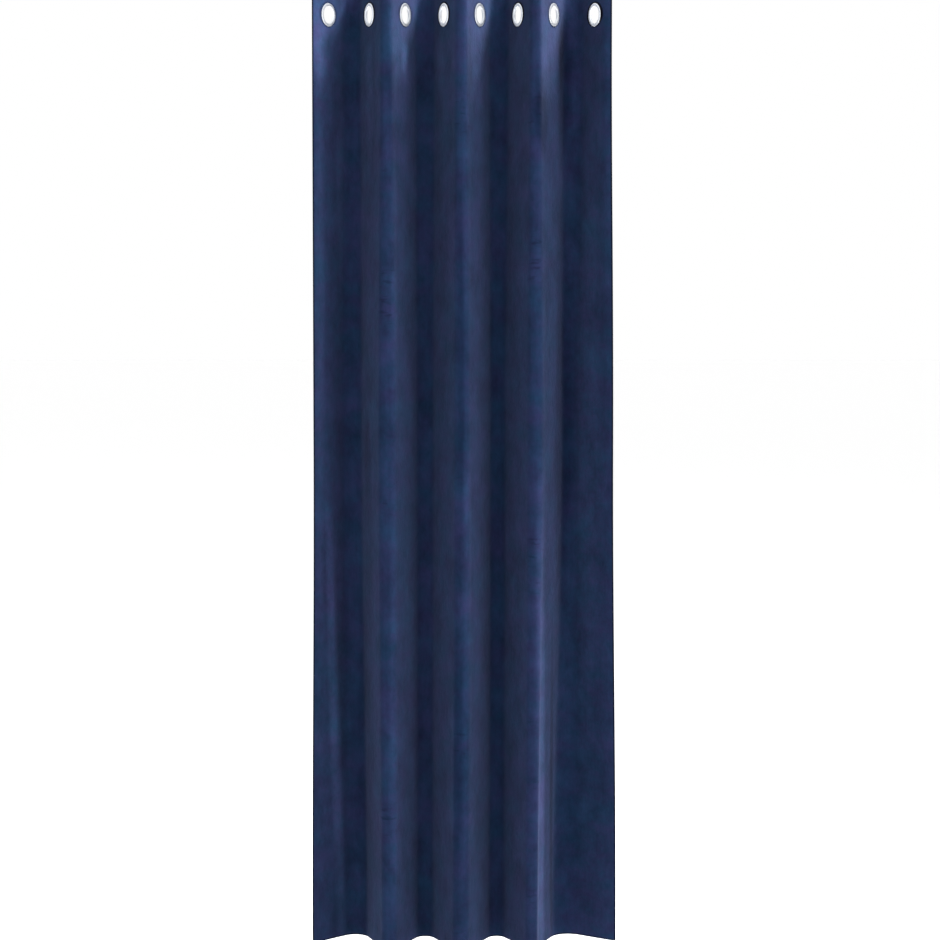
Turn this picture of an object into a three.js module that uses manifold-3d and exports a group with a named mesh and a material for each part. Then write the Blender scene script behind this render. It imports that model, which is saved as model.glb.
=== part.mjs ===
// An eyelet curtain: one velvet panel hanging in soft vertical folds from eight round rings in its heading.
//
// Millimetres, +Z up. +X runs along the width of the hung curtain and -Y faces the room. The origin is the
// middle of the straight line through the centres of the rings, where a rod would pass.
//
// The cloth keeps its woven width at every height. A cross section is a chain of straight flanks and round
// bends: each flank lies under one ring, and the radius of each bend takes up exactly the cloth that lies
// between its two flanks.

import * as THREE from "three";
import { mergeVertices } from "three/addons/utils/BufferGeometryUtils.js";
import Module from "manifold-3d";

const wasm = await Module();
wasm.setup();

const { degToRad, lerp, smoothstep } = THREE.MathUtils;

// ---------------------------------------------------------------- the cloth, as it lies flat

const CLOTH_WIDTH = 1400; // side edge to side edge, hems folded in
const CLOTH_LENGTH = 2500; // top edge to bottom edge, hem folded in
const RING_COUNT = 8;
const EDGE_MARGIN = 66; // side edge to the nearest ring's centre
const TOP_MARGIN = 60; // top edge to the rings' centres
const RING_SPACING = (CLOTH_WIDTH - 2 * EDGE_MARGIN) / (RING_COUNT - 1);

const HEADING_HEIGHT = 120; // stiffened strip round the rings, cloth folded double
const HEADING_THICKNESS = 2.6;
const PANEL_THICKNESS = 1.6; // one layer of velvet with its pile
const HEM_THICKNESS = 2.8; // folded double
const HEM_HEIGHT = 80;
const SIDE_HEM_WIDTH = 24;
const HEM_STEP = 4; // height over which the thickness changes at the hem

// ---------------------------------------------------------------- the rings

const RING_OUTER_RADIUS = 30;
const RING_BORE_RADIUS = 22;
const RING_SIDES = 24;
const HOLE_RADIUS = 25.2; // punched in the heading
const GROOVE_RADIUS = 24.5; // bottom of the groove that the heading sits in
const CLEARANCE = 0.3; // between neighbouring pieces

// Half of a ring's section, from the groove round the flange to the bore: radius from the ring's axis, and
// how far the surface stands from the cloth.
const FLANGE = [
  { radius: GROOVE_RADIUS, proud: 0 },
  { radius: RING_OUTER_RADIUS, proud: 0 },
  { radius: RING_OUTER_RADIUS, proud: 0.7 },
  { radius: RING_OUTER_RADIUS - 1.1, proud: 1.6 },
  { radius: 26.6, proud: 2.5 },
  { radius: 23.6, proud: 1.7 },
];

// ---------------------------------------------------------------- the folds

// The line of cloth under each ring, left to right, at three heights. x and y are its place; lean is the
// angle between the flank of the fold and the width of the curtain. Odd flanks run back to the right and
// even ones forward to the right. leftEdge and rightEdge are the leans of the cloth's two side edges, which
// always lie flatter than the flanks beside them.
const STATIONS = [
  {
    drop: 0,
    leftEdge: 46,
    rightEdge: 8,
    flanks: [
      { x: -348, y: 0, lean: 57 },
      { x: -240, y: 0, lean: 65 },
      { x: -149, y: 0, lean: 64 },
      { x: -47, y: 0, lean: 65 },
      { x: 44, y: 0, lean: 64 },
      { x: 145, y: 0, lean: 66 },
      { x: 236, y: 0, lean: 63 },
      { x: 344, y: 0, lean: 62 },
    ],
  },
  {
    drop: 0.45,
    leftEdge: 52,
    rightEdge: 30,
    flanks: [
      { x: -350, y: 12, lean: 57 },
      { x: -242, y: 4, lean: 67 },
      { x: -147, y: 0, lean: 65 },
      { x: -48, y: -3, lean: 64 },
      { x: 46, y: 2, lean: 66 },
      { x: 142, y: 4, lean: 64 },
      { x: 236, y: 6, lean: 66 },
      { x: 347, y: 16, lean: 50 },
    ],
  },
  {
    drop: 1,
    leftEdge: 43,
    rightEdge: 24,
    flanks: [
      { x: -351, y: 38, lean: 47 },
      { x: -235, y: 18, lean: 70 },
      { x: -147, y: 7, lean: 65 },
      { x: -51, y: 0, lean: 66 },
      { x: 42, y: 0, lean: 66 },
      { x: 138, y: 9, lean: 64 },
      { x: 223, y: 25, lean: 69 },
      { x: 352, y: 57, lean: 36 },
    ],
  },
];

// How far the bottom edge hangs above its lowest level, under each ring.
const HEM_RISE = [0, 0, 0, 0, 0, 0, 2, 4];

const FLAP_STRAIGHT = 34; // cloth beyond an outer ring that keeps its flank's lean
const FLAP_STEPS = 4;
const BEND_STEPS = 8; // facets round one bend
const PANEL_ROWS = 18;

// ---------------------------------------------------------------- cross sections

// The stations blended at a share of the drop, as directions of travel from left to right.
function foldsAt(drop) {
  const upper = STATIONS.findLast((station) => station.drop <= drop && station.drop < 1);
  const lower = STATIONS[STATIONS.indexOf(upper) + 1];
  const share = smoothstep(drop, upper.drop, lower.drop);
  const blend = (name, from = upper, to = lower) => lerp(from[name], to[name], share);
  return {
    leftEdge: degToRad(blend("leftEdge")),
    rightEdge: -degToRad(blend("rightEdge")),
    flanks: upper.flanks.map((from, index) => {
      const to = lower.flanks[index];
      const lean = degToRad(blend("lean", from, to));
      return { x: blend("x", from, to), y: blend("y", from, to), way: index % 2 === 0 ? lean : -lean };
    }),
  };
}

// The point reached by walking a length straight on.
function ahead(point, length) {
  const { x, y, way } = point;
  return { x: x + length * Math.cos(way), y: y + length * Math.sin(way), way };
}

// Points along an arc that leaves a point and turns steadily to another direction.
function arc(start, length, endWay, steps) {
  const radius = length / (endWay - start.way);
  return Array.from({ length: steps }, (_, step) => {
    const way = lerp(start.way, endWay, (step + 1) / steps);
    return {
      x: start.x + radius * (Math.sin(way) - Math.sin(start.way)),
      y: start.y - radius * (Math.cos(way) - Math.cos(start.way)),
      way,
    };
  });
}

// The round bend between two flanks, whose lines meet at a corner. The arc that rounds the corner off has
// the radius at which the way from ring to ring is the cloth's own length.
function bend(left, right) {
  const cross = (a, b) => a.x * b.y - a.y * b.x;
  const across = { x: right.x - left.x, y: right.y - left.y };
  const leftWay = { x: Math.cos(left.way), y: Math.sin(left.way) };
  const rightWay = { x: Math.cos(right.way), y: Math.sin(right.way) };
  const toCorner = cross(across, rightWay) / cross(leftWay, rightWay);
  const fromCorner = cross(leftWay, across) / cross(leftWay, rightWay);
  const turn = Math.abs(right.way - left.way);
  const radius = (toCorner + fromCorner - RING_SPACING) / (2 * Math.tan(turn / 2) - turn);
  const start = ahead(left, toCorner - radius * Math.tan(turn / 2));
  return [start, ...arc(start, radius * turn, right.way, BEND_STEPS)];
}

// The cloth from an outer ring to its side edge, walked outwards.
function flap(ring, edgeWay) {
  const start = ahead(ring, FLAP_STRAIGHT);
  return [start, ...arc(start, EDGE_MARGIN - FLAP_STRAIGHT, edgeWay, FLAP_STEPS)];
}

const turnedRound = (point) => ({ ...point, way: point.way + Math.PI });

// Middle of the cloth at a share of the drop, from its left edge to its right edge.
function section(drop) {
  const { leftEdge, rightEdge, flanks } = foldsAt(drop);
  const leftFlap = flap(turnedRound(flanks[0]), leftEdge + Math.PI);
  const points = leftFlap.reverse().map((point) => ({ ...point, way: point.way - Math.PI }));
  flanks.forEach((flank, index) => {
    points.push(flank);
    if (index + 1 < flanks.length) points.push(...bend(flank, flanks[index + 1]));
  });
  points.push(...flap(flanks.at(-1), rightEdge));
  return points;
}

// The way along a section to each of its points, as a place in the flat cloth.
function placesAcross(points) {
  let along = 0;
  return points.map((point, index) => {
    if (index > 0) along += Math.hypot(point.x - points[index - 1].x, point.y - points[index - 1].y);
    return along;
  });
}

// The rise of the bottom edge at a place in the flat cloth.
function hemRise(across) {
  const place = THREE.MathUtils.clamp((across - EDGE_MARGIN) / RING_SPACING, 0, RING_COUNT - 1);
  const left = Math.min(Math.floor(place), RING_COUNT - 2);
  return lerp(HEM_RISE[left], HEM_RISE[left + 1], place - left);
}

// ---------------------------------------------------------------- solids

// A closed sheet through rows of points, from the top row down. Half of each point's thickness lies on
// either side of the middle.
function sheetGeometry(rows) {
  const columns = rows[0].length;
  const positions = [-1, 1].flatMap((side) =>
    rows.flat().flatMap((point) => {
      const offset = (side * point.thickness) / 2;
      return [point.x - offset * Math.sin(point.way), point.y + offset * Math.cos(point.way), point.z];
    }),
  );
  const front = (row, column) => row * columns + column;
  const back = (row, column) => (rows.length + row) * columns + column;
  const faces = [];
  const quad = (a, b, c, d) => faces.push(a, b, c, a, c, d);
  const bottom = rows.length - 1;
  const end = columns - 1;
  for (let row = 0; row < bottom; row++) {
    for (let column = 0; column < end; column++) {
      quad(front(row, column), front(row + 1, column), front(row + 1, column + 1), front(row, column + 1));
      quad(back(row, column), back(row, column + 1), back(row + 1, column + 1), back(row + 1, column));
    }
    quad(front(row, 0), back(row, 0), back(row + 1, 0), front(row + 1, 0));
    quad(front(row, end), front(row + 1, end), back(row + 1, end), back(row, end));
  }
  for (let column = 0; column < end; column++) {
    quad(front(0, column), front(0, column + 1), back(0, column + 1), back(0, column));
    quad(front(bottom, column), back(bottom, column), back(bottom, column + 1), front(bottom, column + 1));
  }
  const geometry = new THREE.BufferGeometry();
  geometry.setAttribute("position", new THREE.Float32BufferAttribute(positions, 3));
  geometry.setIndex(faces);
  return geometry;
}

function toSolid(geometry) {
  const bare = geometry.clone();
  bare.deleteAttribute("normal");
  bare.deleteAttribute("uv");
  const merged = mergeVertices(bare);
  const mesh = new wasm.Mesh({
    numProp: 3,
    vertProperties: new Float32Array(merged.attributes.position.array),
    triVerts: new Uint32Array(merged.index.array),
  });
  return new wasm.Manifold(mesh);
}

function toGeometry(solid) {
  const mesh = solid.getMesh();
  const geometry = new THREE.BufferGeometry();
  geometry.setAttribute("position", new THREE.Float32BufferAttribute(mesh.vertProperties, 3));
  geometry.setIndex(Array.from(mesh.triVerts));
  return geometry;
}

// ---------------------------------------------------------------- the pieces

const HEADING_BOTTOM = TOP_MARGIN - HEADING_HEIGHT;
const PANEL_TOP = HEADING_BOTTOM - CLEARANCE;
const PANEL_BOTTOM = TOP_MARGIN - CLOTH_LENGTH;
const RINGS = foldsAt(0).flanks;

// The stiffened strip keeps one cross section over its whole height, and has a hole for each ring.
function headingGeometry() {
  const rows = [TOP_MARGIN, HEADING_BOTTOM].map((z) =>
    section(0).map((point) => ({ ...point, z, thickness: HEADING_THICKNESS })),
  );
  const holes = RINGS.map((ring) => {
    const punch = new THREE.CylinderGeometry(HOLE_RADIUS, HOLE_RADIUS, 4 * HEADING_THICKNESS, RING_SIDES);
    return toSolid(punch.rotateZ(ring.way).translate(ring.x, ring.y, 0));
  });
  const pierced = holes.reduce((cloth, hole) => cloth.subtract(hole), toSolid(sheetGeometry(rows)));
  return toGeometry(pierced);
}

function panelRow(z) {
  const drop = (PANEL_TOP - z) / (PANEL_TOP - PANEL_BOTTOM);
  const points = section(drop);
  const places = placesAcross(points);
  const inHem = z <= PANEL_BOTTOM + HEM_HEIGHT;
  return points.map((point, index) => {
    const fromEdge = Math.min(places[index], places.at(-1) - places[index]);
    const doubled = inHem || fromEdge <= SIDE_HEM_WIDTH;
    return {
      ...point,
      z: z + drop ** 2 * hemRise(places[index]),
      thickness: doubled ? HEM_THICKNESS : PANEL_THICKNESS,
    };
  });
}

function panelGeometry() {
  const lastSingleRow = PANEL_BOTTOM + HEM_HEIGHT + HEM_STEP;
  const heights = Array.from({ length: PANEL_ROWS }, (_, row) =>
    lerp(PANEL_TOP, lastSingleRow, row / (PANEL_ROWS - 1)),
  );
  heights.push(PANEL_BOTTOM + HEM_HEIGHT, PANEL_BOTTOM);
  return sheetGeometry(heights.map(panelRow));
}

// A ring turned round its own Y axis: two flanges with the groove for the cloth between them.
function ringGeometry() {
  const seat = HEADING_THICKNESS / 2 + CLEARANCE;
  const half = FLANGE.map(({ radius, proud }) => new THREE.Vector2(radius, seat + proud));
  const otherHalf = half.map(({ x, y }) => new THREE.Vector2(x, -y)).reverse();
  const bore = new THREE.Vector2(RING_BORE_RADIUS, 0);
  return new THREE.LatheGeometry([...half, bore, ...otherHalf, half[0]], RING_SIDES);
}

// ---------------------------------------------------------------- the curtain

const velvet = new THREE.MeshStandardMaterial({ color: 0x1c2748, roughness: 0.9, metalness: 0 });
const polishedMetal = new THREE.MeshStandardMaterial({ color: 0xd9dbe0, roughness: 0.2, metalness: 1 });

const curtain = new THREE.Group();

function addPiece(name, geometry, material) {
  const piece = new THREE.Mesh(geometry, material.clone());
  piece.name = name;
  curtain.add(piece);
  return piece;
}

addPiece("panel", panelGeometry(), velvet);
addPiece("heading", headingGeometry(), velvet);
RINGS.forEach((ring, index) => {
  const eyelet = addPiece(`eyelet_${index + 1}`, ringGeometry(), polishedMetal);
  eyelet.position.set(ring.x, ring.y, 0);
  eyelet.rotation.z = ring.way;
});

export default curtain;
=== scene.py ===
"""A velvet eyelet curtain: one panel that hangs in soft vertical folds from eight rings in its heading.

Metres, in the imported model's frame: +Z up, +X along the width of the hung curtain, -Y towards the room. The
origin is the middle of the straight line through the centres of the rings.

A spot of the cloth is named by its place in the flat cloth: across, from the left side edge, and down, from
the top edge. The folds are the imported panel's own: a cross section is a chain of straight flanks, one under
each ring, and round bends that take up exactly the cloth between two flanks.
"""

import math

import bpy
import numpy as np
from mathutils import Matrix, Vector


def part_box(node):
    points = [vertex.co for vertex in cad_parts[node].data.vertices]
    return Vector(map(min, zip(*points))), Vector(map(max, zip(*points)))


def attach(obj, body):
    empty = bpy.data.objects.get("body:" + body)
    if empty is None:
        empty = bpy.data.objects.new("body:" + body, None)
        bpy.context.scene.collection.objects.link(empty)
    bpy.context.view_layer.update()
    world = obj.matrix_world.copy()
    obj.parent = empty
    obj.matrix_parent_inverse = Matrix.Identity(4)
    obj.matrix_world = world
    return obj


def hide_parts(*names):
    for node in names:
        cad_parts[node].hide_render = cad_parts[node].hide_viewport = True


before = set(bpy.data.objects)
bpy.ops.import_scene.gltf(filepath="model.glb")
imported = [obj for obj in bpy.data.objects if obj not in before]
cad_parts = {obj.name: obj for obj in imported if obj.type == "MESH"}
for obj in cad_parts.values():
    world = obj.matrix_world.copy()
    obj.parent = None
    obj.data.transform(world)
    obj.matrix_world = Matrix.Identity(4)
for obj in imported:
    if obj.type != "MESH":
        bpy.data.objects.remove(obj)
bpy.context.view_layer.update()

# ---------------------------------------------------------------- sizes

CLOTH_WIDTH = 1.400  # side edge to side edge, hems folded in
CLOTH_LENGTH = 2.500  # top edge to bottom edge, hem folded in
RING_COUNT = 8
EDGE_MARGIN = 0.066  # side edge to the nearest ring's centre
TOP_MARGIN = 0.060  # top edge to the rings' centres
RING_SPACING = (CLOTH_WIDTH - 2 * EDGE_MARGIN) / (RING_COUNT - 1)

HEADING_HEIGHT = 0.120  # stiffened strip round the rings, cloth folded double
HEM_HEIGHT = 0.080
SIDE_HEM_WIDTH = 0.024
HEM_STEP = 0.0012  # width of the step where a folded hem ends

# How far the two faces of the cloth stand from its middle. The hems are folded to the back.
FRONT_FACE = 0.0012
BACK_FACE = {"single": 0.0004, "double": 0.0013}

RING_RADIUS = 0.030
BORE_RADIUS = 0.022
HOLE_RADIUS = 0.0252  # punched in the heading
GROOVE_RADIUS = 0.0245  # bottom of the groove that the heading sits in
RING_SEAT = 0.0016  # middle of the cloth to the ring's flange

# ---------------------------------------------------------------- the folds

# The line of cloth under each ring, left to right, at three shares of the drop. x and y are its place; lean
# is the angle in degrees between the flank of the fold and the width of the curtain. left_edge and
# right_edge are the leans of the two side edges.
STATIONS = (
    {
        "drop": 0,
        "left_edge": 46,
        "x": (-0.348, -0.240, -0.149, -0.047, 0.044, 0.145, 0.236, 0.344),
        "y": (0, 0, 0, 0, 0, 0, 0, 0),
        "lean": (57, 65, 64, 65, 64, 66, 63, 62),
        "right_edge": 8,
    },
    {
        "drop": 0.45,
        "left_edge": 52,
        "x": (-0.350, -0.242, -0.147, -0.048, 0.046, 0.142, 0.236, 0.347),
        "y": (0.012, 0.004, 0, -0.003, 0.002, 0.004, 0.006, 0.016),
        "lean": (57, 67, 65, 64, 66, 64, 66, 50),
        "right_edge": 30,
    },
    {
        "drop": 1,
        "left_edge": 43,
        "x": (-0.351, -0.235, -0.147, -0.051, 0.042, 0.138, 0.223, 0.352),
        "y": (0.038, 0.018, 0.007, 0, 0, 0.009, 0.025, 0.057),
        "lean": (47, 70, 65, 66, 66, 64, 69, 36),
        "right_edge": 24,
    },
)

# How far the bottom edge hangs above its lowest level, under each ring.
HEM_RISE = (0.002, 0, 0, 0, 0, 0, 0.001, 0.001)

FLAP_STRAIGHT = 0.034  # cloth beyond an outer ring that keeps its flank's lean
SOFTENING = 0.005  # how far the change from a flank to a bend is spread

# Creases, as soft ridges (height above 0) or troughs. ring is the place across, counted in
# rings, so that 2.5 is midway between the second and the third; the rest is in metres, and tilt in degrees
# turns the crease's lower end to the right.
CREASES = (
    {"ring": 1.10, "down": 1.70, "length": 0.45, "width": 0.012, "height": 0.0025, "tilt": 2},
    {"ring": 6.53, "down": 2.30, "length": 1.00, "width": 0.012, "height": 0.0035, "tilt": 0},
)

# Painted highlights and painted shade on the velvet, each mark multiplying the colour of the pile. The
# columns are those of CREASES, and lift says how many times as bright the middle of the mark is.
PAINTED_LIGHT_MARKS = (
    {"ring": 0.76, "down": 0.11, "length": 0.12, "width": 0.035, "tilt": 0.0, "lift": 1.70},
    {"ring": 0.76, "down": 0.80, "length": 0.70, "width": 0.022, "tilt": 0.0, "lift": 1.40},
    {"ring": 0.88, "down": 2.15, "length": 0.45, "width": 0.035, "tilt": 0.0, "lift": 1.12},
    {"ring": 1.10, "down": 1.95, "length": 0.65, "width": 0.020, "tilt": 2.3, "lift": 1.70},
    {"ring": 1.30, "down": 0.50, "length": 0.25, "width": 0.022, "tilt": 0.0, "lift": 1.35},
    {"ring": 1.75, "down": 2.00, "length": 0.45, "width": 0.050, "tilt": 0.0, "lift": 0.75},
    {"ring": 1.92, "down": 1.22, "length": 0.12, "width": 0.022, "tilt": 0.0, "lift": 0.60},
    {"ring": 2.00, "down": 0.26, "length": 0.16, "width": 0.025, "tilt": 0.0, "lift": 1.30},
    {"ring": 2.60, "down": 0.23, "length": 0.09, "width": 0.018, "tilt": 0.0, "lift": 0.65},
    {"ring": 2.62, "down": 1.85, "length": 0.60, "width": 0.014, "tilt": 0.0, "lift": 1.35},
    {"ring": 2.64, "down": 0.75, "length": 0.50, "width": 0.014, "tilt": 0.0, "lift": 1.30},
    {"ring": 2.98, "down": 0.17, "length": 0.05, "width": 0.018, "tilt": 0.0, "lift": 1.90},
    {"ring": 3.10, "down": 1.90, "length": 0.75, "width": 0.030, "tilt": 0.0, "lift": 1.25},
    {"ring": 3.90, "down": 0.18, "length": 0.07, "width": 0.025, "tilt": 0.0, "lift": 1.50},
    {"ring": 4.45, "down": 2.00, "length": 0.30, "width": 0.016, "tilt": 0.0, "lift": 0.65},
    {"ring": 4.48, "down": 0.95, "length": 0.40, "width": 0.010, "tilt": 0.0, "lift": 0.70},
    {"ring": 4.60, "down": 0.60, "length": 0.30, "width": 0.016, "tilt": 0.0, "lift": 1.25},
    {"ring": 4.60, "down": 1.45, "length": 0.35, "width": 0.016, "tilt": 0.0, "lift": 1.40},
    {"ring": 4.66, "down": 0.20, "length": 0.11, "width": 0.018, "tilt": 0.0, "lift": 0.60},
    {"ring": 5.50, "down": 1.80, "length": 0.90, "width": 0.045, "tilt": 0.0, "lift": 0.86},
    {"ring": 6.58, "down": 0.20, "length": 0.09, "width": 0.016, "tilt": 0.0, "lift": 0.75},
    {"ring": 6.58, "down": 1.45, "length": 0.30, "width": 0.014, "tilt": 0.0, "lift": 1.30},
    {"ring": 6.64, "down": 0.33, "length": 0.09, "width": 0.030, "tilt": 0.0, "lift": 0.40},
    {"ring": 6.71, "down": 2.16, "length": 0.66, "width": 0.026, "tilt": 1.6, "lift": 2.15},
    {"ring": 7.14, "down": 2.15, "length": 0.45, "width": 0.012, "tilt": 2.0, "lift": 0.40},
    {"ring": 7.25, "down": 0.16, "length": 0.08, "width": 0.014, "tilt": 0.0, "lift": 0.45},
    {"ring": 7.32, "down": 0.22, "length": 0.20, "width": 0.030, "tilt": 0.0, "lift": 0.50},
    {"ring": 7.32, "down": 1.12, "length": 0.48, "width": 0.045, "tilt": 0.0, "lift": 0.50},
    {"ring": 7.50, "down": 2.25, "length": 0.35, "width": 0.045, "tilt": 0.0, "lift": 0.82},
    {"ring": 7.85, "down": 1.10, "length": 0.75, "width": 0.045, "tilt": 0.0, "lift": 1.30},
    {"ring": 8.10, "down": 0.55, "length": 0.25, "width": 0.060, "tilt": 0.0, "lift": 1.15},
)
PAINTED_LIGHT_HUE_POWERS = (1.10, 1.0, 0.88)  # painted highlights gain most in red and least in blue; painted shade takes most of the red and least of the blue

PLACES = np.linspace(0, CLOTH_WIDTH, 1401)  # fine places across, at which cross sections are worked out
DROPS = np.linspace(0, 1, 241)  # shares of the drop at which they are worked out
RING_PLACES = EDGE_MARGIN + RING_SPACING * np.arange(RING_COUNT)
TURN_SIDE = np.where(np.arange(RING_COUNT) % 2 == 0, 1, -1)  # flanks run back and forward by turns


def smoothstep(share):
    share = np.clip(share, 0, 1)
    return share * share * (3 - 2 * share)


def folds_at(drop):
    """The stations blended at a share of the drop, leans as directions of travel in radians."""
    lower = 1 if drop < STATIONS[1]["drop"] else 2
    above, below = STATIONS[lower - 1], STATIONS[lower]
    share = smoothstep((drop - above["drop"]) / (below["drop"] - above["drop"]))

    def blend(name):
        return (1 - share) * np.array(above[name], float) + share * np.array(below[name], float)

    way = np.radians(blend("lean")) * TURN_SIDE
    edges = math.radians(blend("left_edge")), -math.radians(blend("right_edge"))
    return blend("x"), blend("y"), way, edges


def bend(left, right):
    """Start and end of the bend between two flanks, measured along the cloth from the left ring."""
    (x0, y0, way0), (x1, y1, way1) = left, right
    sine = math.sin(way1 - way0)
    to_corner = ((x1 - x0) * math.sin(way1) - (y1 - y0) * math.cos(way1)) / sine
    from_corner = (math.cos(way0) * (y1 - y0) - math.sin(way0) * (x1 - x0)) / sine
    turn = abs(way1 - way0)
    radius = (to_corner + from_corner - RING_SPACING) / (2 * math.tan(turn / 2) - turn)
    start = to_corner - radius * math.tan(turn / 2)
    return start, start + radius * turn


def softened(values):
    """Values along PLACES averaged over their neighbours, and carried straight on past both ends."""
    step = PLACES[1]
    reach = round(4 * SOFTENING / step)
    weights = np.exp(-0.5 * (np.arange(-reach, reach + 1) * step / SOFTENING) ** 2)
    before = values[0] + np.arange(-reach, 0) * (values[1] - values[0])
    after = values[-1] + np.arange(1, reach + 1) * (values[-1] - values[-2])
    return np.convolve(np.concatenate([before, values, after]), weights / weights.sum(), "valid")


def section(drop):
    """x, y and direction of travel of the middle of the cloth at PLACES, at a share of the drop."""
    x, y, way, edges = folds_at(drop)
    rings = list(zip(x, y, way))
    places = [0, EDGE_MARGIN - FLAP_STRAIGHT]
    ways = [edges[0], way[0]]
    for ring in range(RING_COUNT - 1):
        start, end = bend(rings[ring], rings[ring + 1])
        places += [RING_PLACES[ring] + start, RING_PLACES[ring] + end]
        ways += [way[ring], way[ring + 1]]
    places += [RING_PLACES[-1] + FLAP_STRAIGHT, CLOTH_WIDTH]
    ways += [way[-1], edges[1]]
    heading = np.interp(PLACES, places, ways)
    walked = []
    for steps, start in ((np.cos(heading), x[0]), (np.sin(heading), y[0])):
        line = np.concatenate([[0], np.cumsum((steps[1:] + steps[:-1]) / 2)]) * PLACES[1]
        walked.append(softened(line - np.interp(EDGE_MARGIN, PLACES, line) + start))
    return *walked, np.arctan2(np.gradient(walked[1]), np.gradient(walked[0]))


SECTIONS = np.array([section(drop) for drop in DROPS])  # drops, then x, y and way, then places


def distance_from(mark, across, down):
    """The square of the distance from the middle of a crease or mark, which is 1 at its rim."""
    sideways = across - RING_PLACES[0] - (mark["ring"] - 1) * RING_SPACING
    downwards = down - mark["down"]
    tilt = math.radians(mark["tilt"])
    along = downwards * math.cos(tilt) + sideways * math.sin(tilt)
    beside = sideways * math.cos(tilt) - downwards * math.sin(tilt)
    return (along / mark["length"]) ** 2 + (beside / mark["width"]) ** 2


def unevenness(across, down):
    """How far the cloth stands towards the room of its plain folds."""
    return sum(crease["height"] * np.exp(-distance_from(crease, across, down)) for crease in CREASES)


def painted_light_tint(across, down):
    """The painted highlights and shade of the marks at a spot of the cloth, as factors for red, green and
    blue.
    """
    tint = np.ones((*across.shape, 3))
    for mark in PAINTED_LIGHT_MARKS:
        strength = np.exp(-distance_from(mark, across, down) ** 2)
        change = mark["lift"] ** np.array(PAINTED_LIGHT_HUE_POWERS) - 1
        tint *= 1 + strength[..., None] * change
    return tint


def cloth_points(across, down, behind):
    """Points of the hung cloth that lie so far behind its middle. Below 0 is in front of it."""
    drop = np.clip((down - HEADING_HEIGHT) / (CLOTH_LENGTH - HEADING_HEIGHT), 0, 1)
    row = np.clip(drop * (len(DROPS) - 1), 0, len(DROPS) - 1.001)
    column = np.clip(across / PLACES[1], 0, len(PLACES) - 1.001)
    low, left = row.astype(int), column.astype(int)
    fall, side = row - low, column - left
    x, y, way = (
        (1 - fall) * ((1 - side) * part[low, left] + side * part[low, left + 1])
        + fall * ((1 - side) * part[low + 1, left] + side * part[low + 1, left + 1])
        for part in SECTIONS.transpose(1, 0, 2)
    )
    offset = behind - unevenness(across, down)
    rise = drop**2 * np.interp(across, RING_PLACES, HEM_RISE)
    height = TOP_MARGIN - down + rise
    return np.stack([x - offset * np.sin(way), y + offset * np.cos(way), height], axis=-1)


# ---------------------------------------------------------------- the mesh of the cloth

CELL = 0.0055  # side of a square of the mesh round the rings
HOLE_CELLS = 4  # half the side of the square of cells that a hole replaces
ZONE_CELLS = 6  # half the side of the square of cells that makes room for the hole
CREST_CELLS = 32  # between two such squares where the cloth bends round to the room's side
VALLEY_CELLS = 18  # and where it bends away from it
ROW_HEIGHT = 0.020  # between the heading and the hem
EDGE_ROUNDING = 0.0016
THINNEST_EDGE = 0.02  # share of the rounding at which the edge ends in a narrow wall
EDGE_SHADE_WIDTH = 0.0035  # strip along the side edges that gets a darker velvet without sheen, painted shade
CLOTH_MATERIALS = ("pile", "edge_shade", "ground")

# Distances from the edges at which the mesh has further columns and rows.
SIDE_HEM_COLUMNS = (EDGE_SHADE_WIDTH, 0.0070, 0.0125, 0.0180)
TOP_ROWS = (0.0070, 0.0120, 0.0170, 0.0220)
HEM_ROWS = (0.012, 0.028, 0.044, 0.062)
LOWER_HEADING_ROWS = (0.0090, 0.0180)  # these are counted from below the squares round the holes


def rounded_edge(inner):
    """Places from an edge inwards, close together where the edge is rounded."""
    return [share * EDGE_ROUNDING for share in (0, 0.1, 0.45, 1)] + list(inner)


def columns_across():
    """Places of the mesh's columns: fine round the rings and at the hems' edges."""
    zone = ZONE_CELLS * CELL
    steps = [SIDE_HEM_WIDTH - HEM_STEP / 2, SIDE_HEM_WIDTH + HEM_STEP / 2]
    side = rounded_edge([*SIDE_HEM_COLUMNS, *steps])
    places = list(side)
    for ring, centre in enumerate(RING_PLACES):
        places += list(centre + CELL * np.arange(-ZONE_CELLS, ZONE_CELLS + 1))
        if ring + 1 < RING_COUNT:
            cells = CREST_CELLS if ring % 2 else VALLEY_CELLS
            places += list(np.linspace(centre + zone, RING_PLACES[ring + 1] - zone, cells + 1)[1:-1])
    return np.array(places + [CLOTH_WIDTH - place for place in reversed(side)])


def rows_down():
    """Places of the mesh's rows, from the top edge down."""
    zone = ZONE_CELLS * CELL
    steps = [HEADING_HEIGHT - HEM_STEP / 2, HEADING_HEIGHT + HEM_STEP / 2]
    rows = rounded_edge(TOP_ROWS)
    rows += list(TOP_MARGIN + CELL * np.arange(-ZONE_CELLS, ZONE_CELLS + 1))
    rows += [TOP_MARGIN + zone + lower for lower in LOWER_HEADING_ROWS] + steps
    hem = CLOTH_LENGTH - HEM_HEIGHT
    count = round((hem - HEADING_HEIGHT) / ROW_HEIGHT)
    rows += list(np.linspace(steps[1], hem - HEM_STEP / 2, count + 1)[1:])
    bottom = [CLOTH_LENGTH - place for place in reversed(rounded_edge(HEM_ROWS))]
    return np.array(rows + [hem + HEM_STEP / 2, *bottom])


def room_for_holes(across, down):
    """The grid's places moved so that the squares left open become round holes."""
    zone, square = ZONE_CELLS * CELL, HOLE_CELLS * CELL
    nearest = RING_PLACES[np.argmin(np.abs(across[..., None] - RING_PLACES), axis=-1)]
    right, below = across - nearest, down - TOP_MARGIN
    to_side = np.maximum(np.abs(right), np.abs(below))
    far = np.maximum(np.hypot(right, below), 1e-9)
    share = np.clip((zone - to_side) / (zone - square), 0, 1)
    stretch = (1 - share) + share * HOLE_RADIUS / far
    inside = to_side < square - CELL / 2
    return nearest + right * stretch, TOP_MARGIN + below * stretch, inside


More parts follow.
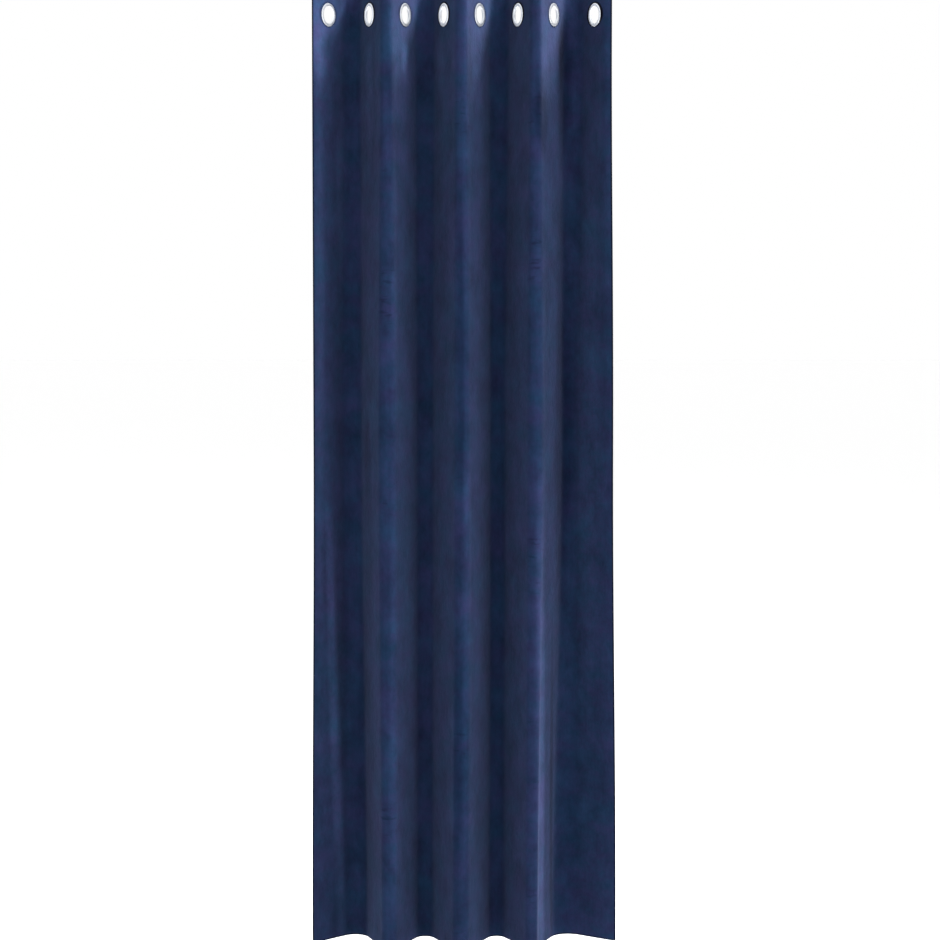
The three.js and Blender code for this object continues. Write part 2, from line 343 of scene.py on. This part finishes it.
def doubled(across, down):
    """1 where a hem or the heading is folded double, 0 on single cloth, and between them on the step."""
    from_side = np.minimum(across, CLOTH_WIDTH - across)
    past = np.maximum.reduce([
        HEADING_HEIGHT - down,
        down - (CLOTH_LENGTH - HEM_HEIGHT),
        SIDE_HEM_WIDTH - from_side,
    ])
    return np.clip(past / HEM_STEP + 0.5, 0, 1)


def edge_shrink(across, down):
    """How much of the cloth's thickness is left near an edge, where a fold rounds it off."""
    inwards = np.minimum.reduce([across, CLOTH_WIDTH - across, down, CLOTH_LENGTH - down])
    share = np.clip(inwards / EDGE_ROUNDING, THINNEST_EDGE, 1)
    return np.sqrt(1 - (1 - share) ** 2)


def back_face(across, down):
    """How far the back of the cloth stands behind its middle."""
    share = doubled(across, down)
    return (1 - share) * BACK_FACE["single"] + share * BACK_FACE["double"]


def new_mesh_object(name, vertices, faces):
    mesh = bpy.data.meshes.new(name)
    mesh.from_pydata(np.asarray(vertices).tolist(), [], np.asarray(faces).tolist())
    mesh.update()
    mesh.shade_smooth()
    piece = bpy.data.objects.new(name, mesh)
    bpy.context.scene.collection.objects.link(piece)
    return piece


def open_edges(faces):
    """The edges, in their faces' direction, that only one face has."""
    edges = np.stack([faces, np.roll(faces, -1, axis=1)], axis=-1).reshape(-1, 2)
    size = edges.max() + 1
    there = edges[:, 0] * size + edges[:, 1]
    back_again = edges[:, 1] * size + edges[:, 0]
    return edges[~np.isin(there, back_again)]


def sheet_faces(inside):
    """The faces of a grid, those of the same grid again as its back, and the walls that join the two."""
    rows, columns = inside.shape
    number = np.arange(rows * columns).reshape(rows, columns)
    kept = ~(inside[:-1, :-1] | inside[1:, 1:] | inside[:-1, 1:] | inside[1:, :-1])
    corners = (number[:-1, :-1], number[1:, :-1], number[1:, 1:], number[:-1, 1:])
    front = np.stack([corner[kept] for corner in corners], axis=-1)
    to_back = rows * columns
    back = front[:, ::-1] + to_back
    start, end = open_edges(front).T
    walls = np.stack([end, start, start + to_back, end + to_back], axis=-1)
    return front, back, walls


def choose_materials(cloth, middles, on_back):
    """Give each face its material by where its middle lies on the flat cloth."""
    across, down = middles.T
    shows_ground = on_back & (doubled(across, down) < 0.5)
    chosen = np.where(shows_ground, CLOTH_MATERIALS.index("ground"), CLOTH_MATERIALS.index("pile"))
    from_side = np.minimum(across, CLOTH_WIDTH - across)
    # The strip along the side edges gets the darker material without sheen, painted shade.
    chosen[from_side < EDGE_SHADE_WIDTH] = CLOTH_MATERIALS.index("edge_shade")
    cloth.data.polygons.foreach_set("material_index", chosen.astype(np.int32))


def make_cloth():
    """The whole cloth as one closed sheet, with its hems and its eight holes."""
    flat_across, flat_down = np.meshgrid(columns_across(), rows_down())
    across, down, inside = room_for_holes(flat_across, flat_down)
    shrink = edge_shrink(across, down)
    layers = (
        cloth_points(across, down, -FRONT_FACE * shrink),
        cloth_points(across, down, back_face(across, down) * shrink),
    )
    points = np.concatenate([layer.reshape(-1, 3) for layer in layers])
    flat = np.tile(np.stack([across, down], axis=-1).reshape(-1, 2), (len(layers), 1))

    front, back, walls = sheet_faces(inside)
    used, faces = np.unique(np.concatenate([front, back, walls]), return_inverse=True)
    faces = faces.reshape(-1, 4)
    points, flat = points[used], flat[used]
    cloth = new_mesh_object("curtain_cloth", points, faces)
    layer = cloth.data.uv_layers.new(name="cloth")
    layer.uv.foreach_set("vector", flat[faces.ravel()].astype(np.float32).ravel())

    on_back = np.repeat([False, True, False], [len(front), len(back), len(walls)])
    choose_materials(cloth, flat[faces].mean(axis=1), on_back)
    # The painted highlights and shade of the marks go on the cloth as a colour attribute.
    tint = np.concatenate([painted_light_tint(flat[:, 0], flat[:, 1]), np.ones((len(flat), 1))], axis=1)
    painted_light = cloth.data.color_attributes.new("painted_light", "FLOAT_COLOR", "POINT")
    painted_light.data.foreach_set("color", tint.astype(np.float32).ravel())
    return cloth


# ---------------------------------------------------------------- the stitches of the hems

# One stitch. raised and sunk are how far its middle is lifted and its ends dip in, as shares of its height.
STITCH = {"length": 0.0034, "pitch": 0.0046, "width": 0.0007, "height": 0.0005, "raised": 0.1, "sunk": 0.6}
STITCH_SIDES = 6
# The thread's cross sections: place along the stitch as a share of its length, and share of full thickness.
STITCH_SECTIONS = (
    {"along": -0.50, "size": 0.35},
    {"along": -0.36, "size": 0.90},
    {"along": 0.00, "size": 1.00},
    {"along": 0.36, "size": 0.90},
    {"along": 0.50, "size": 0.35},
)
SEAM_INSET = 0.0035  # seam to the folded edge that it holds down
SEAM_START = 0.004  # end of a seam to the middle of its first stitch
SEAM_END = 0.003


def seam_places():
    """Where the stitches lie on the back of the flat cloth: each one's middle, and its direction."""
    hem_top = CLOTH_LENGTH - HEM_HEIGHT
    along_width = np.arange(SEAM_START, CLOTH_WIDTH - SEAM_END, STITCH["pitch"])
    along_drop = np.arange(HEADING_HEIGHT + SEAM_START, hem_top - SEAM_END, STITCH["pitch"])
    middles, ways = [], []
    for down in (HEADING_HEIGHT - SEAM_INSET, hem_top + SEAM_INSET):
        middles += [(across, down) for across in along_width]
        ways += [(1, 0)] * len(along_width)
    for across in (SIDE_HEM_WIDTH - SEAM_INSET, CLOTH_WIDTH - SIDE_HEM_WIDTH + SEAM_INSET):
        middles += [(across, down) for down in along_drop]
        ways += [(0, 1)] * len(along_drop)
    return np.array(middles), np.array(ways, float)


def stitch_faces():
    """The faces of one stitch: a thread with six sides and two ends."""
    faces = [(5, 4, 1, 0), (4, 3, 2, 1)]
    for section in range(len(STITCH_SECTIONS) - 1):
        first = STITCH_SIDES * section
        for corner in range(STITCH_SIDES):
            here, beside = first + corner, first + (corner + 1) % STITCH_SIDES
            faces.append((here, beside, beside + STITCH_SIDES, here + STITCH_SIDES))
    last = STITCH_SIDES * (len(STITCH_SECTIONS) - 1)
    faces += [(last, last + 1, last + 4, last + 5), (last + 1, last + 2, last + 3, last + 4)]
    return np.array(faces)


def make_stitches():
    """Every stitch as a short thread that dips into the cloth at both ends, all joined in one mesh."""
    middles, ways = seam_places()
    beside = np.stack([-ways[:, 1], ways[:, 0]], axis=1)
    points = []
    for section in STITCH_SECTIONS:
        size = section["size"]
        for angle in np.arange(STITCH_SIDES) * 2 * math.pi / STITCH_SIDES:
            sideways = math.cos(angle) * size * STITCH["width"] / 2
            place = middles + ways * section["along"] * STITCH["length"] + beside * sideways
            proud = (math.sin(angle) / 2 + STITCH["raised"]) * size - (1 - size) * STITCH["sunk"]
            behind = BACK_FACE["double"] + proud * STITCH["height"]
            points.append(cloth_points(place[:, 0], place[:, 1], behind))
    first_points = len(points) * np.arange(len(middles))
    faces = stitch_faces() + first_points[:, None, None]
    vertices = np.stack(points, axis=1).reshape(-1, 3)
    return new_mesh_object("hem_stitches", vertices, faces.reshape(-1, 4))


# ---------------------------------------------------------------- the rings

RING_STEPS = 96  # round a ring
FLANGE_CENTRE = 0.0261  # radius of the middle of the flange
FLANGE_HEIGHT = 0.0016  # of its round part
FLANGE_FOOT = 0.0003  # below the round part
FLANGE_STEPS = 14
BORE_TOP = 0.0006  # the wall of the bore ends this far below the foot of the flange
SMALL_BEVEL = 0.0002


def flange_profile():
    """Half of a ring's section, from the groove round the flange to the middle of the bore."""
    half_width = RING_RADIUS - FLANGE_CENTRE
    profile = [(GROOVE_RADIUS, 0), (GROOVE_RADIUS, RING_SEAT), (RING_RADIUS - SMALL_BEVEL, RING_SEAT)]
    for angle in np.linspace(0, math.pi, FLANGE_STEPS + 1):
        radius = FLANGE_CENTRE + half_width * math.cos(angle)
        profile.append((radius, RING_SEAT + FLANGE_FOOT + FLANGE_HEIGHT * math.sin(angle)))
    profile.append((BORE_RADIUS, RING_SEAT - BORE_TOP))
    profile.append((BORE_RADIUS, SMALL_BEVEL))
    profile.append((BORE_RADIUS + SMALL_BEVEL, 0))
    return profile


def make_ring(number, centre, way):
    """One eyelet: two snapped halves turned round the axis that runs through the cloth."""
    half = flange_profile()
    profile = half + [(radius, -height) for radius, height in reversed(half[1:-1])]
    count = len(profile)
    vertices = []
    for angle in np.linspace(0, 2 * math.pi, RING_STEPS, endpoint=False):
        for radius, height in profile:
            sideways = radius * math.cos(angle)
            x = centre[0] + sideways * math.cos(way) - height * math.sin(way)
            y = centre[1] + sideways * math.sin(way) + height * math.cos(way)
            vertices.append((x, y, centre[2] + radius * math.sin(angle)))
    faces = []
    for step in range(RING_STEPS):
        here, after = step * count, (step + 1) % RING_STEPS * count
        for spot in range(count):
            beyond = (spot + 1) % count
            faces.append((here + spot, here + beyond, after + beyond, after + spot))
    ring = new_mesh_object(f"ring_{number}", vertices, faces)
    brush_ring(ring, profile)
    return ring


def brush_ring(ring, profile):
    """Lay a ring's surface flat for its brushing: the way round it, and the way along its outline."""
    count = len(profile)
    outline = np.array(profile + [profile[0]])
    along_outline = np.concatenate([[0], np.cumsum(np.hypot(*np.diff(outline, axis=0).T))])
    step_length = 2 * math.pi * RING_RADIUS / RING_STEPS
    step, spot = np.divmod(np.arange(RING_STEPS * count), count)
    round_ring = np.stack([step, step, step + 1, step + 1], axis=1) * step_length
    over_flange = along_outline[np.stack([spot, spot + 1, spot + 1, spot], axis=1)]
    spots = np.stack([round_ring, over_flange], axis=-1)
    layer = ring.data.uv_layers.new(name="brushing")
    layer.uv.foreach_set("vector", spots.astype(np.float32).ravel())


# ---------------------------------------------------------------- materials

TEAL_NAVY = (0.0068, 0.0190, 0.0445, 1)
VIOLET_NAVY = (0.0129, 0.0154, 0.0460, 1)
# Painted shade: the colour of the darker strip along the side edges.
EDGE_SHADE_NAVY = (0.0045, 0.0065, 0.0150, 1)
GROUND_NAVY = (0.0150, 0.0230, 0.0520, 1)
THREAD_NAVY = (0.0300, 0.0420, 0.0900, 1)
SILVER = (0.89, 0.92, 0.96, 1)
SHEEN_BLUE = (0.42, 0.49, 0.83, 1)

# Painted shade round each ring: how far it reaches to the ring's sides and above it, and how far above its
# centre the middle of this shade is.
PAINTED_RING_SHADE = {"sides": 0.042, "above": 0.0345, "rise": 0.0012}

# Soft patches. across and down are how many there are to a metre each way, seed moves them sideways, and
# detail and harshness say how much fine structure they have. Sway is how far patches change the tone, and
# relief is how high they stand, in metres.
VELVET_PATCHES = {
    "clouds": {"across": 9, "down": 16, "seed": 3.7, "detail": 5, "harshness": 0.8},
    "broad": {"across": 5, "down": 4, "seed": 19.2, "detail": 2},
    "shades": {"across": 12, "down": 9, "seed": 41.3, "detail": 5, "harshness": 0.75},
    "streaks": {"across": 150, "down": 5, "seed": 12.9, "detail": 4},
    "strands": {"across": 420, "down": 60, "seed": 23.6, "detail": 3},
    "grain": {"across": 1100, "down": 900, "seed": 7.1, "detail": 2},
    "crushed": {"across": 2, "down": 5, "seed": 77.7, "detail": 1},
    "nicks": {"across": 22, "down": 95, "seed": 57.2, "detail": 2},
}
VELVET_SWAY = {"shades": 1.35, "streaks": 0.15, "strands": 0.12, "grain": 0.50}
VELVET_RELIEF = {"shades": 0.002, "nicks": -0.0004, "streaks": 0.00012, "strands": 0.00005, "grain": 0.0001}
NICK_DARKENING = 0.30
EDGE_SHADE_PATCHES = {
    "grain": {"across": 1100, "down": 500, "seed": 5.3, "detail": 2},
    "wear": {"across": 90, "down": 14, "seed": 8.8, "detail": 3},
}
GROUND_PATCHES = {
    "wobble": {"across": 60, "down": 60, "seed": 2.2, "detail": 3},
    "fuzz": {"across": 700, "down": 700, "seed": 17.5, "detail": 3},
    "clouds": {"across": 8, "down": 4, "seed": 31.0, "detail": 3},
}
METAL_PATCHES = {
    "brushing": {"across": 60, "down": 6000, "seed": 1.4, "detail": 3},
    "smudges": {"across": 90, "down": 160, "seed": 9.9, "detail": 3},
}
# Two fine dark lines round the flange on a ring's back, as ways along the ring's outline from its groove.
LIP_LINES = (0.0076, 0.0152)
# The twill of the ground, in radians to a metre for its slanted ribs and its upright threads. wobble bends
# the ribs, and thread_share is how strong the threads are next to them.
TWILL = {"ribs": 3600, "threads": 7000, "wobble": 4, "thread_share": 0.3}


def new_material(name):
    material = bpy.data.materials.new(name)
    material.use_nodes = True
    tree = material.node_tree
    return material, tree, tree.nodes["Principled BSDF"]


def connect(tree, socket, value):
    """Give an input a number or colour, or link it to another node's output."""
    if isinstance(value, bpy.types.NodeSocket):
        tree.links.new(value, socket)
    else:
        socket.default_value = value


def add_node(tree, kind, inputs, **settings):
    node = tree.nodes.new("ShaderNode" + kind)
    for name, value in settings.items():
        setattr(node, name, value)
    for socket, value in inputs.items():
        connect(tree, node.inputs[socket], value)
    return node


def calculate(tree, operation, *values):
    return add_node(tree, "Math", dict(enumerate(values)), operation=operation).outputs[0]


def mix_colours(tree, share, first, second, way="MIX"):
    """Two colours mixed. This node has several sockets of one name, so they go by number."""
    node = add_node(tree, "Mix", {}, data_type="RGBA", blend_type=way)
    for socket, value in ((0, share), (6, first), (7, second)):
        connect(tree, node.inputs[socket], value)
    return node.outputs[2]


def ramp(tree, value, start, end, low, high):
    """A value moved from start..end to low..high, soft at both ends."""
    inputs = {"Value": value, "From Min": start, "From Max": end, "To Min": low, "To Max": high}
    return add_node(tree, "MapRange", inputs, interpolation_type="SMOOTHSTEP").outputs["Result"]


def surface_place(tree, uv_map):
    """Where a spot is on the flat surface, in metres: as a vector, and its two parts."""
    place = add_node(tree, "UVMap", {}, uv_map=uv_map).outputs["UV"]
    parts = add_node(tree, "SeparateXYZ", {"Vector": place})
    return place, parts.outputs["X"], parts.outputs["Y"]


def patches(tree, place, across, down, seed, detail, harshness=0.5):
    """Soft patches, so many to a metre each way, from 0 to 1."""
    move = {"Vector": place, "Location": (seed, 0, 0), "Scale": (across, down, 1)}
    stretched = add_node(tree, "Mapping", move).outputs["Vector"]
    inputs = {"Vector": stretched, "Scale": 1, "Detail": detail, "Roughness": harshness}
    return add_node(tree, "TexNoise", inputs, noise_dimensions="2D").outputs[0]


def all_patches(tree, place, table):
    return {name: patches(tree, place, **row) for name, row in table.items()}


def product(tree, *values):
    """All the values multiplied together."""
    result = values[0]
    for value in values[1:]:
        result = calculate(tree, "MULTIPLY", result, value)
    return result


def sway(tree, patch, amount):
    """A factor round 1 from patches."""
    return calculate(tree, "MULTIPLY_ADD", patch, amount, 1 - amount / 2)


def bump(tree, height, depth, below=None):
    inputs = {"Height": height, "Distance": depth, "Strength": 1}
    if below is not None:
        inputs["Normal"] = below
    return add_node(tree, "Bump", inputs).outputs["Normal"]


def from_nearest_ring(tree, across, down):
    """Distance from the nearest ring's centre, 1 where its painted shade ends, and the place across in rings.
    """
    first = calculate(tree, "SUBTRACT", across, EDGE_MARGIN)
    rings_along = calculate(tree, "DIVIDE", first, RING_SPACING)
    whole = calculate(tree, "ROUND", rings_along)
    share = calculate(tree, "SUBTRACT", rings_along, whole)
    sideways = calculate(tree, "MULTIPLY", share, RING_SPACING / PAINTED_RING_SHADE["sides"])
    below = calculate(tree, "SUBTRACT", down, TOP_MARGIN - PAINTED_RING_SHADE["rise"])
    below = calculate(tree, "DIVIDE", below, PAINTED_RING_SHADE["above"])
    square = calculate(tree, "MULTIPLY", below, below)
    square = calculate(tree, "MULTIPLY_ADD", sideways, sideways, square)
    return calculate(tree, "SQRT", square), rings_along


def from_edges(tree, across, down):
    """Distance to the nearest side edge or the bottom edge."""
    other = calculate(tree, "SUBTRACT", CLOTH_WIDTH, across)
    under = calculate(tree, "SUBTRACT", CLOTH_LENGTH, down)
    return calculate(tree, "MINIMUM", calculate(tree, "MINIMUM", across, other), under)


def velvet_material():
    """Short pile in navy that leans here towards teal and there towards violet."""
    material, tree, shader = new_material("navy_velvet")
    place, across, down = surface_place(tree, "cloth")
    patch = all_patches(tree, place, VELVET_PATCHES)
    ring_distance, rings_along = from_nearest_ring(tree, across, down)

    # Small nicks where the pile is crushed across the crests of the folds.
    from_crest = calculate(tree, "PINGPONG", calculate(tree, "SUBTRACT", rings_along, 1.5), 1)
    on_crest = ramp(tree, from_crest, 0.04, 0.22, 1, 0)
    crushed = ramp(tree, patch["crushed"], 0.56, 0.66, 0, 1)
    patch["nicks"] = product(tree, ramp(tree, patch["nicks"], 0.56, 0.76, 0, 1), crushed, on_crest)

    factor = sway(tree, patch["shades"], VELVET_SWAY["shades"])
    for name in ("streaks", "strands", "grain"):
        factor = product(tree, factor, sway(tree, patch[name], VELVET_SWAY[name]))
    factor = product(tree, factor, calculate(tree, "MULTIPLY_ADD", patch["nicks"], -NICK_DARKENING, 1))

    # Painted shade round the rings, mostly on the flanks that face left.
    faces_left = calculate(tree, "PINGPONG", rings_along, 1)
    darkest_ring_shade = ramp(tree, faces_left, 0.3, 0.7, 0.6, 0)
    factor = product(tree, factor, ramp(tree, ring_distance, 0.88, 1.02, darkest_ring_shade, 1))
    # Painted shade along the side edges and the bottom edge.
    edge_distance = from_edges(tree, across, down)
    factor = product(tree, factor, ramp(tree, edge_distance, 0.001, 0.006, 0.3, 1))

    clouds = calculate(tree, "MULTIPLY", patch["clouds"], 0.85)
    clouds = calculate(tree, "MULTIPLY_ADD", patch["broad"], 0.35, clouds)
    colour = mix_colours(tree, ramp(tree, clouds, 0.35, 0.85, 0, 1), TEAL_NAVY, VIOLET_NAVY)
    colour = mix_colours(tree, 1.0, colour, factor, "MULTIPLY")
    # The painted highlights and shade of the marks multiply the colour.
    painted_light = add_node(tree, "VertexColor", {}, layer_name="painted_light").outputs["Color"]
    connect(tree, shader.inputs["Base Color"], mix_colours(tree, 1.0, colour, painted_light, "MULTIPLY"))

    connect(tree, shader.inputs["Roughness"], ramp(tree, patch["shades"], 0.2, 0.8, 0.90, 1.0))
    surface = None
    for name, relief in VELVET_RELIEF.items():
        surface = bump(tree, patch[name], relief, surface)
    connect(tree, shader.inputs["Normal"], surface)
    shader.inputs["Sheen Weight"].default_value = 0.2
    shader.inputs["Sheen Roughness"].default_value = 0.4
    shader.inputs["Sheen Tint"].default_value = SHEEN_BLUE
    shader.inputs["Specular IOR Level"].default_value = 0
    return material


def edge_shade_material():
    """The fold along a side edge, darker than the velvet and without sheen: painted shade where the cloth
    turns.
    """
    material, tree, shader = new_material("navy_velvet_edge_shade")
    place = surface_place(tree, "cloth")[0]
    patch = all_patches(tree, place, EDGE_SHADE_PATCHES)
    factor = product(tree, sway(tree, patch["grain"], 0.5), sway(tree, patch["wear"], 0.6))
    connect(tree, shader.inputs["Base Color"], mix_colours(tree, 1.0, EDGE_SHADE_NAVY, factor, "MULTIPLY"))
    connect(tree, shader.inputs["Roughness"], ramp(tree, patch["wear"], 0.2, 0.8, 0.88, 1.0))
    connect(tree, shader.inputs["Normal"], bump(tree, patch["grain"], 0.00008))
    shader.inputs["Specular IOR Level"].default_value = 0
    return material


def ground_material():
    """The back of the velvet: its bare ground, a fine twill."""
    material, tree, shader = new_material("navy_ground_weave")
    place, across, down = surface_place(tree, "cloth")
    patch = all_patches(tree, place, GROUND_PATCHES)
    slant = calculate(tree, "MULTIPLY", calculate(tree, "ADD", across, down), TWILL["ribs"])
    slant = calculate(tree, "MULTIPLY_ADD", patch["wobble"], TWILL["wobble"], slant)
    ribs = calculate(tree, "SINE", slant)
    threads = calculate(tree, "SINE", calculate(tree, "MULTIPLY", across, TWILL["threads"]))
    weave = calculate(tree, "MULTIPLY_ADD", threads, TWILL["thread_share"], ribs)
    highest = 1 + TWILL["thread_share"]
    weave = ramp(tree, weave, -highest, highest, 0, 1)
    factor = product(tree, *(sway(tree, tone, 0.5) for tone in (weave, patch["fuzz"], patch["clouds"])))
    connect(tree, shader.inputs["Base Color"], mix_colours(tree, 1.0, GROUND_NAVY, factor, "MULTIPLY"))
    connect(tree, shader.inputs["Roughness"], ramp(tree, patch["fuzz"], 0.2, 0.8, 0.82, 0.96))
    surface = bump(tree, weave, 0.00012)
    connect(tree, shader.inputs["Normal"], bump(tree, patch["fuzz"], 0.00008, surface))
    shader.inputs["Specular IOR Level"].default_value = 0.15
    return material


def thread_material():
    """Navy sewing thread, twisted from fine fibres."""
    material, tree, shader = new_material("navy_thread")
    spot = add_node(tree, "TexCoord", {}).outputs["Object"]
    wave = {"Vector": spot, "Scale": 900, "Distortion": 2}
    twist = add_node(tree, "TexWave", wave, bands_direction="DIAGONAL").outputs["Fac"]
    tint = add_node(tree, "TexNoise", {"Vector": spot, "Scale": 40, "Detail": 2}).outputs[0]
    factor = product(tree, sway(tree, twist, 0.6), sway(tree, tint, 0.5))
    connect(tree, shader.inputs["Base Color"], mix_colours(tree, 1.0, THREAD_NAVY, factor, "MULTIPLY"))
    connect(tree, shader.inputs["Roughness"], ramp(tree, tint, 0.3, 0.7, 0.45, 0.6))
    connect(tree, shader.inputs["Normal"], bump(tree, twist, 0.00005))
    return material


def metal_material():
    """Bright satin silver, brushed round the ring."""
    material, tree, shader = new_material("satin_silver")
    place, _, along_outline = surface_place(tree, "brushing")
    patch = all_patches(tree, place, METAL_PATCHES)
    outer, inner = (
        calculate(tree, "ABSOLUTE", calculate(tree, "SUBTRACT", along_outline, line)) for line in LIP_LINES
    )
    lips = ramp(tree, calculate(tree, "MINIMUM", inner, outer), 0.0004, 0.0010, 0.55, 1)
    tone = product(tree, sway(tree, patch["brushing"], 0.05), sway(tree, patch["smudges"], 0.05), lips)
    connect(tree, shader.inputs["Base Color"], mix_colours(tree, 1.0, SILVER, tone, "MULTIPLY"))
    connect(tree, shader.inputs["Roughness"], ramp(tree, patch["smudges"], 0.25, 0.75, 0.28, 0.38))
    connect(tree, shader.inputs["Normal"], bump(tree, patch["brushing"], 0.000006))
    shader.inputs["Metallic"].default_value = 0.45
    return material


# ---------------------------------------------------------------- the object

cloth = make_cloth()
for material in (velvet_material(), edge_shade_material(), ground_material()):
    cloth.data.materials.append(material)
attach(cloth, "root")
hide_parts("panel", "heading")

silver = metal_material()
rings = []
ring_ways = np.radians(STATIONS[0]["lean"]) * TURN_SIDE
for number, way in enumerate(ring_ways, start=1):
    low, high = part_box(f"eyelet_{number}")
    ring = make_ring(number, (low + high) / 2, way)
    ring.data.materials.append(silver)
    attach(ring, "root")
    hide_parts(f"eyelet_{number}")
    rings.append(ring)

stitches = make_stitches()
stitches.data.materials.append(thread_material())
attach(stitches, "root")

# ---------------------------------------------------------------- camera, floor and light

CAMERA_PLACE = (0.0199, -6.93, -0.7045)
CAMERA_TILT = 86.06  # degrees from straight down
CAMERA_LENS = 101.5  # millimetres, as the width of the sensor is
CAMERA_SENSOR = 36
FLOOR_GAP = 0.09  # the hem hangs this far above the floor
FLOOR_REACH = 60
# The floor's tone, and how far from its middle it starts and ends to pass into the white of the studio.
FLOOR_FADE = {"tone": 0.85, "start": 4, "end": 9}

# Soft lights. azimuth is from straight in front of the curtain towards its right, width and height are the
# lamp's, and it faces the middle of the curtain at aim_height. The two strong lamps would burn out the
# rings that face them, so the rings are spared.
LAMPS = (
    {
        "name": "side_key",
        "azimuth": 104,
        "elevation": 59,
        "distance": 4.0,
        "width": 1.2,
        "height": 1.2,
        "power": 640,
        "aim_height": -0.3,
        "spares_rings": True,
    },
    {
        "name": "right_softbox",
        "azimuth": 46,
        "elevation": 52,
        "distance": 5.0,
        "width": 2.0,
        "height": 2.0,
        "power": 230,
        "aim_height": -1.0,
        "spares_rings": True,
    },
    {
        "name": "low_right_fill",
        "azimuth": 68,
        "elevation": -8,
        "distance": 3.5,
        "width": 0.8,
        "height": 1.0,
        "power": 25,
        "aim_height": -1.6,
        "spares_rings": False,
    },
    {
        "name": "left_fill",
        "azimuth": -30,
        "elevation": 5,
        "distance": 4.0,
        "width": 1.5,
        "height": 2.5,
        "power": 45,
        "aim_height": -1.2,
        "spares_rings": False,
    },
)

camera = bpy.data.objects.new("camera", bpy.data.cameras.new("camera"))
camera.data.sensor_width = CAMERA_SENSOR
camera.data.lens = CAMERA_LENS
camera.location = CAMERA_PLACE
camera.rotation_euler = (math.radians(CAMERA_TILT), 0, 0)
bpy.context.scene.collection.objects.link(camera)
bpy.context.scene.camera = camera


def make_floor():
    """A plain pale floor under the hem."""
    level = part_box("panel")[0].z - FLOOR_GAP
    corners = [(FLOOR_REACH * x, FLOOR_REACH * y, level) for x, y in ((-1, -1), (1, -1), (1, 1), (-1, 1))]
    floor = new_mesh_object("floor", corners, [(0, 1, 2, 3)])
    material, tree, shader = new_material("pale_floor")
    spot = add_node(tree, "TexCoord", {}).outputs["Object"]
    far = add_node(tree, "VectorMath", {0: spot}, operation="LENGTH").outputs["Value"]
    tone = ramp(tree, far, FLOOR_FADE["start"], FLOOR_FADE["end"], FLOOR_FADE["tone"], 1)
    connect(tree, shader.inputs["Base Color"], tone)
    floor.data.materials.append(material)
    return floor


floor = make_floor()

world = bpy.data.worlds.new("studio")
world.use_nodes = True
world.node_tree.nodes["Background"].inputs["Color"].default_value = (1, 1, 1, 1)
world.node_tree.nodes["Background"].inputs["Strength"].default_value = 1.0
bpy.context.scene.world = world
bpy.context.scene.view_settings.view_transform = "Standard"


def area_light(row):
    """A lamp of the table. It lights the curtain, but no glossy surface shows it."""
    turn, tilt = math.radians(row["azimuth"]), math.radians(row["elevation"])
    away = np.array([math.sin(turn) * math.cos(tilt), -math.cos(turn) * math.cos(tilt), math.sin(tilt)])
    light = bpy.data.lights.new(row["name"], "AREA")
    light.shape = "RECTANGLE"
    light.size = row["width"]
    light.size_y = row["height"]
    light.energy = row["power"]
    lamp = bpy.data.objects.new(row["name"], light)
    lamp.location = np.array([0, 0, row["aim_height"]]) + row["distance"] * away
    lamp.rotation_euler = (math.pi / 2 - tilt, 0, turn)
    lamp.visible_glossy = False
    bpy.context.scene.collection.objects.link(lamp)
    return lamp


def shade_from(lamp, pieces):
    """Keep a lamp's light off some pieces, as a flag on a stand would."""
    shaded = bpy.data.collections.new("shaded_from_" + lamp.name)
    for piece in pieces:
        shaded.objects.link(piece)
    for member in shaded.collection_objects:
        member.light_linking.link_state = "EXCLUDE"
    lamp.light_linking.receiver_collection = shaded


for row in LAMPS:
    lamp = area_light(row)
    if row["spares_rings"]:
        shade_from(lamp, rings)
